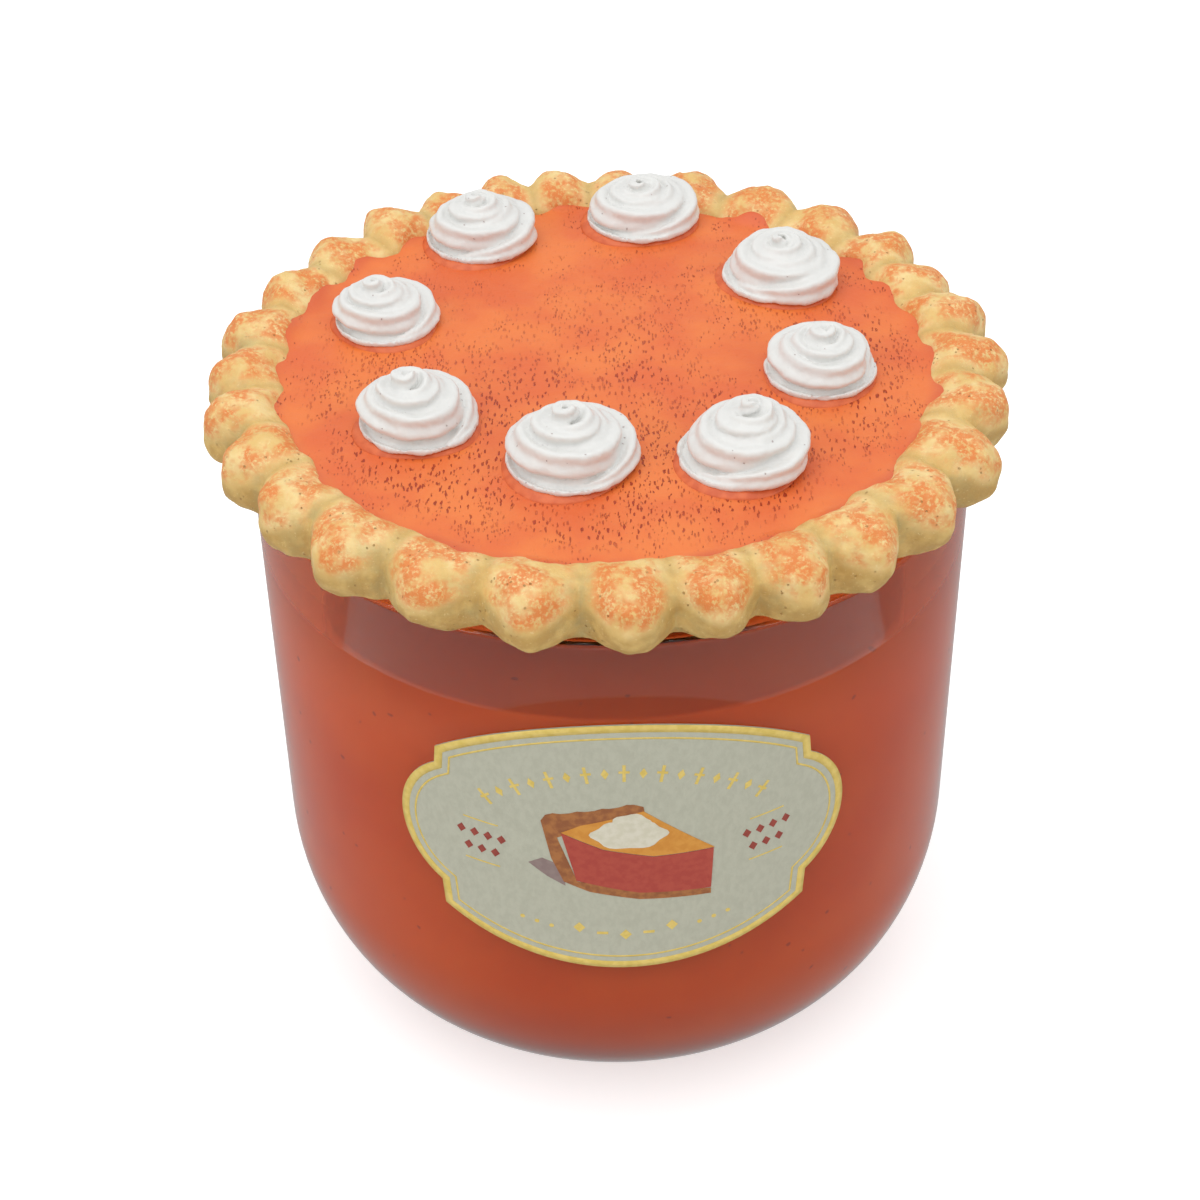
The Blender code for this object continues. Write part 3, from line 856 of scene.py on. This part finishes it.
def make_filling(look):
    columns = 480
    radii = [0.4 + 49.6 * i / 149 for i in range(150)]
    rows, edge, open_share = [], [], []
    for radius in radii[::-1]:
        row = []
        for j in range(columns):
            turn = 2 * math.pi * j / columns
            x, y = radius * math.cos(turn), radius * math.sin(turn)
            row.append((x + LID_SHIFT.x, y + LID_SHIFT.y, filling_height(x, y)))
            edge.append(smooth_step(46.0, 48.5, radius + 0.8 * rough((x, y, 0.0), 5.0, 1.0)))
            toward_back = smooth_step(-12.0, 30.0, y - 0.3 * x)
            open_share.append((1.0 - smooth_step(40.0, 46.0, radius)) * (1.0 - 0.85 * toward_back))
        rows.append(row)
    bottom = []
    for height, radius in ((LID_BOTTOM + 1.0, 49.5), (LID_BOTTOM, 49.0), (LID_BOTTOM, 20.0)):
        turns = [2 * math.pi * j / columns for j in range(columns)]
        ring = [(radius * math.cos(turn), radius * math.sin(turn)) for turn in turns]
        bottom.append([(x + LID_SHIFT.x, y + LID_SHIFT.y, height) for x, y in ring])
    rows = bottom[::-1] + rows
    edge = [1.0] * (3 * columns) + edge
    open_share = [0.0] * (3 * columns) + open_share
    mesh = grid_mesh("filling_disc", rows, wrap_columns=True)
    add_number(mesh, "edge", edge)
    add_number(mesh, "open", open_share)
    close_ends(mesh)
    new_piece("filling_disc", mesh, look, ["pie_filling"])


def foot_outline(turn, width, seed):
    """Radius of a swirl's foot in a direction."""
    return 0.5 * width * (0.97 + 0.05 * math.sin(2 * turn + seed) + 0.03 * math.sin(3 * turn + 2 * seed))


def rope_centre(share, width, height, start):
    """Middle of the piped rope from its loose end (0) to the tip (1), and its radius there."""
    thick = ROPE_SHARE * width * (1.0 - 0.60 * share) * (0.25 + 0.75 * smooth_step(0.0, 0.13, share))
    turn = start + 2 * math.pi * ROPE_TURNS * share
    reach = (0.5 * width - max(thick, 0.11 * width)) * max(1.0 - share, 0.0) ** 0.92
    reach *= 1.0 + 0.06 * math.exp(-(((share - 0.11) / 0.05) ** 2))
    reach *= 1.0 + 0.04 * math.sin(2 * turn + 3.0 * start) + 0.03 * math.sin(3 * turn + start)
    low = 0.35 * thick
    high = height - thick
    rise = low + (high - low) * share**0.92
    return Vector((reach * math.cos(turn), reach * math.sin(turn), rise)), thick


def rope_mesh(width, height, start):
    """Fluted rope that winds up to the tip."""
    steps, sides = 260, 36
    rows = []
    for i in range(steps + 1):
        share = i / steps
        centre, thick = rope_centre(share, width, height, start)
        back, _ = rope_centre(max(share - 0.002, 0.0), width, height, start)
        ahead, _ = rope_centre(min(share + 0.002, 1.0), width, height, start)
        along = (ahead - back).normalized()
        outward = Vector((centre.x, centre.y, 0.0))
        outward = (outward - along * outward.dot(along)).normalized()
        upward = along.cross(outward)
        if upward.z < 0:
            upward.negate()
        to_end = min(share, 1 - share)
        close = math.sqrt(max(0.0, 1.0 - (1.0 - min(to_end / ROPE_END, 1.0)) ** 2))
        row = []
        for j in range(sides):
            around = 2 * math.pi * j / sides
            flute = 1.0 + ROPE_FLUTE_DEPTH * math.cos(ROPE_FLUTES * (around + 5.0 * share))
            size = thick * flute * max(close, 0.05)
            row.append(tuple(centre + outward * size * math.cos(around) + upward * size * math.sin(around)))
        rows.append(row)
    mesh = grid_mesh("rope", rows, wrap_columns=True)
    close_ends(mesh)
    return mesh


def core_mesh(width, height):
    """Mound inside the coil, nearly as far out as the rope's middle, with a skirt at its foot."""
    profile = [(0.0, height - 1.1)]
    for i in range(24, -1, -1):
        centre, _ = rope_centre(i / 24, width, height, 0.0)
        profile.append((max(math.hypot(centre.x, centre.y) - 0.1, 0.05), centre.z - 0.1))
    profile += [(0.45 * width, 0.9), (0.455 * width, 0.35), (0.45 * width, 0.0)]
    profile += [(0.2 * width, 0.0), (0.0, 0.0)]
    return turned("core", profile, 60)


def make_swirl(look, foot, number, node, x, y, width, height, loose_end, lean_x, lean_y):
    """Piped swirl: a fluted rope over a mound, melted together, on its little orange foot."""
    start = math.radians(loose_end - 100)
    both = joined("swirl", [rope_mesh(width, height, start), core_mesh(width, height)])

    def melt(holder):
        remesh = holder.modifiers.new("melt", "REMESH")
        remesh.mode = "VOXEL"
        remesh.voxel_size = VOXEL
        ease = holder.modifiers.new("ease", "SMOOTH")
        ease.factor = 0.5
        ease.iterations = 3

    mesh = applied(both, melt)
    plain = applied(mesh.copy(), ease_much)
    sharp, normals, soft = vertex_table(mesh), normal_table(mesh), vertex_table(plain)
    depth = ((soft - sharp) * normals).sum(axis=1)
    crease = [smooth_step(0.02, 0.16, value) for value in depth]
    moved = np.empty_like(sharp)
    for i, (place, way) in enumerate(zip(sharp, normals)):
        dent = 0.24 * rough(place, 2.6, number) + 0.07 * rough(place, 0.9, number + 9.0)
        across, along, up = place + dent * way
        rise = max(up, 0.0) / height
        moved[i] = (across + x + lean_x * rise, along + y + lean_y * rise, SWIRL_BASE + max(up, -0.1))
    mesh.vertices.foreach_set("co", moved.ravel())
    mesh.update()
    mesh.shade_smooth()
    add_number(mesh, "crease", crease)
    new_piece("swirl_" + node.replace("cream_", ""), mesh, look, [node])
    make_foot(foot, number, node, x, y, width)


def ease_much(holder):
    """Smoothing that takes the creases away, to tell where they are."""
    ease = holder.modifiers.new("ease", "SMOOTH")
    ease.factor = 0.5
    ease.iterations = 30


def make_foot(look, number, node, x, y, width):
    """Low orange plinth that a swirl was cast on."""
    rows = []
    profile = ((0.97, -1.6), (0.97, -0.6), (0.95, -0.4), (0.90, -0.1), (0.86, 0.1), (0.3, 0.1))
    for share, rise in profile:
        row = []
        for j in range(96):
            turn = 2 * math.pi * j / 96
            radius = share * foot_outline(turn, width, 1.3 * number)
            across, along = x - FOOT_SHIFT, y - FOOT_SHIFT
            row.append((across + radius * math.cos(turn), along + radius * math.sin(turn), SWIRL_BASE + rise))
        rows.append(row)
    mesh = grid_mesh("foot", rows, wrap_columns=True)
    close_ends(mesh)
    mesh.shade_smooth()
    new_piece("foot_" + node.replace("cream_", ""), mesh, look)


# ---------------------------------------------------------------- room


def area_lamp(name, place, aim, size, watts):
    lamp = bpy.data.lights.new(name, "AREA")
    lamp.shape = "SQUARE"
    lamp.size = size
    lamp.energy = watts
    holder = bpy.data.objects.new(name, lamp)
    holder.location = place
    holder.rotation_euler = (Vector(aim) - Vector(place)).to_track_quat("-Z", "Y").to_euler()
    bpy.context.scene.collection.objects.link(holder)
    return holder


def make_room():
    scene = bpy.context.scene
    scene.view_settings.view_transform = "Standard"
    world = bpy.data.worlds.new("white_room")
    scene.world = world
    world.use_nodes = True
    tree = world.node_tree
    tree.nodes.clear()
    output = tree.nodes.new("ShaderNodeOutputWorld")
    ray = tree.nodes.new("ShaderNodeLightPath")
    seen = tree.nodes.new("ShaderNodeMath")
    seen.operation = "MAXIMUM"
    tree.links.new(ray.outputs["Is Camera Ray"], seen.inputs[0])
    tree.links.new(ray.outputs["Is Transmission Ray"], seen.inputs[1])
    plain = tree.nodes.new("ShaderNodeBackground")
    plain.inputs["Color"].default_value = (1.0, 1.0, 1.0, 1.0)
    plain.inputs["Strength"].default_value = 0.72
    white = tree.nodes.new("ShaderNodeBackground")
    white.inputs["Color"].default_value = (1.0, 1.0, 1.0, 1.0)
    white.inputs["Strength"].default_value = 1.0
    both = tree.nodes.new("ShaderNodeMixShader")
    tree.links.new(seen.outputs[0], both.inputs["Fac"])
    tree.links.new(plain.outputs[0], both.inputs[1])
    tree.links.new(white.outputs[0], both.inputs[2])
    tree.links.new(both.outputs[0], output.inputs["Surface"])

    floor_mesh = bpy.data.meshes.new("floor")
    form = bmesh.new()
    bmesh.ops.create_grid(form, x_segments=1, y_segments=1, size=0.5 * FLOOR_SIZE)
    form.to_mesh(floor_mesh)
    form.free()
    floor = bpy.data.objects.new("floor", floor_mesh)
    scene.collection.objects.link(floor)
    floor.data.materials.append(floor_look())

    area_lamp("top_lamp", (-0.1, 0.0, 1.0), LAMP_AIM, 0.9, 3.6)
    area_lamp("left_lamp", (-0.9, -0.65, 0.75), LAMP_AIM, 0.6, 2.0)
    area_lamp("right_lamp", (0.9, -0.55, 0.75), LAMP_AIM, 0.6, 1.3)


def floor_look():
    """White floor: its own shading plus enough white, for the camera and for glass, to clip to white; glass
    sees no added white under and round the jar, which is a painted shadow there.
    """
    look = Look("white_floor", 0.8, (0.8, 0.8, 0.8))
    ray = look.node("ShaderNodeLightPath")
    glow = look.node("ShaderNodeEmission")
    # Painted shadow: seen through the glass, the floor's added white is left out under and round the jar.
    clear = look.ramp(look.distance_from_axis(), 0.8 * MOUTH_RADIUS * MM, 1.3 * MOUTH_RADIUS * MM)
    through = look.maths("MULTIPLY", ray.outputs["Is Transmission Ray"], clear)
    seen = look.maths("MAXIMUM", ray.outputs["Is Camera Ray"], through)
    look.link(look.maths("MULTIPLY", seen, 0.5), glow.inputs["Strength"])
    both = look.node("ShaderNodeAddShader")
    look.link(look.shader.outputs["BSDF"], both.inputs[0])
    look.link(glow.outputs["Emission"], both.inputs[1])
    mirrored = look.node("ShaderNodeEmission")
    mirrored.inputs["Strength"].default_value = FLOOR_IN_REFLECTIONS
    choice = look.node("ShaderNodeMixShader")
    look.link(ray.outputs["Is Glossy Ray"], choice.inputs["Fac"])
    look.link(both.outputs["Shader"], choice.inputs[1])
    look.link(mirrored.outputs["Emission"], choice.inputs[2])
    look.link(choice.outputs["Shader"], look.output.inputs["Surface"])
    look.set("Specular IOR Level", 0.0)
    return look.material


def make_camera():
    camera = bpy.data.cameras.new("camera")
    camera.lens = CAMERA_LENS
    camera.sensor_width = 36.0
    holder = bpy.data.objects.new("camera", camera)
    bpy.context.scene.collection.objects.link(holder)
    turn = (CAMERA_AIM - CAMERA_PLACE).to_track_quat("-Z", "Y").to_matrix().to_4x4()
    roll = Matrix.Rotation(CAMERA_ROLL, 4, "Z")
    holder.matrix_world = Matrix.Translation(CAMERA_PLACE) @ turn @ roll
    bpy.context.scene.camera = holder


def main():
    make_jar(glass_look())
    make_wax(wax_look())
    make_label(
        paper_look(),
        gold_look(),
        ink_look("dark_red_ink", (150, 58, 46), (162, 68, 54)),
        ink_look("crust_ink", (150, 88, 46), (176, 112, 56)),
        ink_look("top_ink", (212, 140, 46), (220, 152, 58)),
        ink_look("side_ink", (176, 64, 50), (184, 74, 56)),
        ink_look("cream_ink", (214, 208, 184), (224, 218, 198)),
        ink_look("shade_ink", (142, 120, 116), (150, 130, 124)),
    )
    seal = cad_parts["lid_plug"]
    seal.data.materials.clear()
    seal.data.materials.append(seal_look())
    make_crust(crust_look())
    make_filling(filling_look())
    cream, foot = cream_look(), foot_look()
    for number, swirl in enumerate(SWIRLS):
        make_swirl(cream, foot, number, *swirl)
    make_room()
    make_camera()


main()
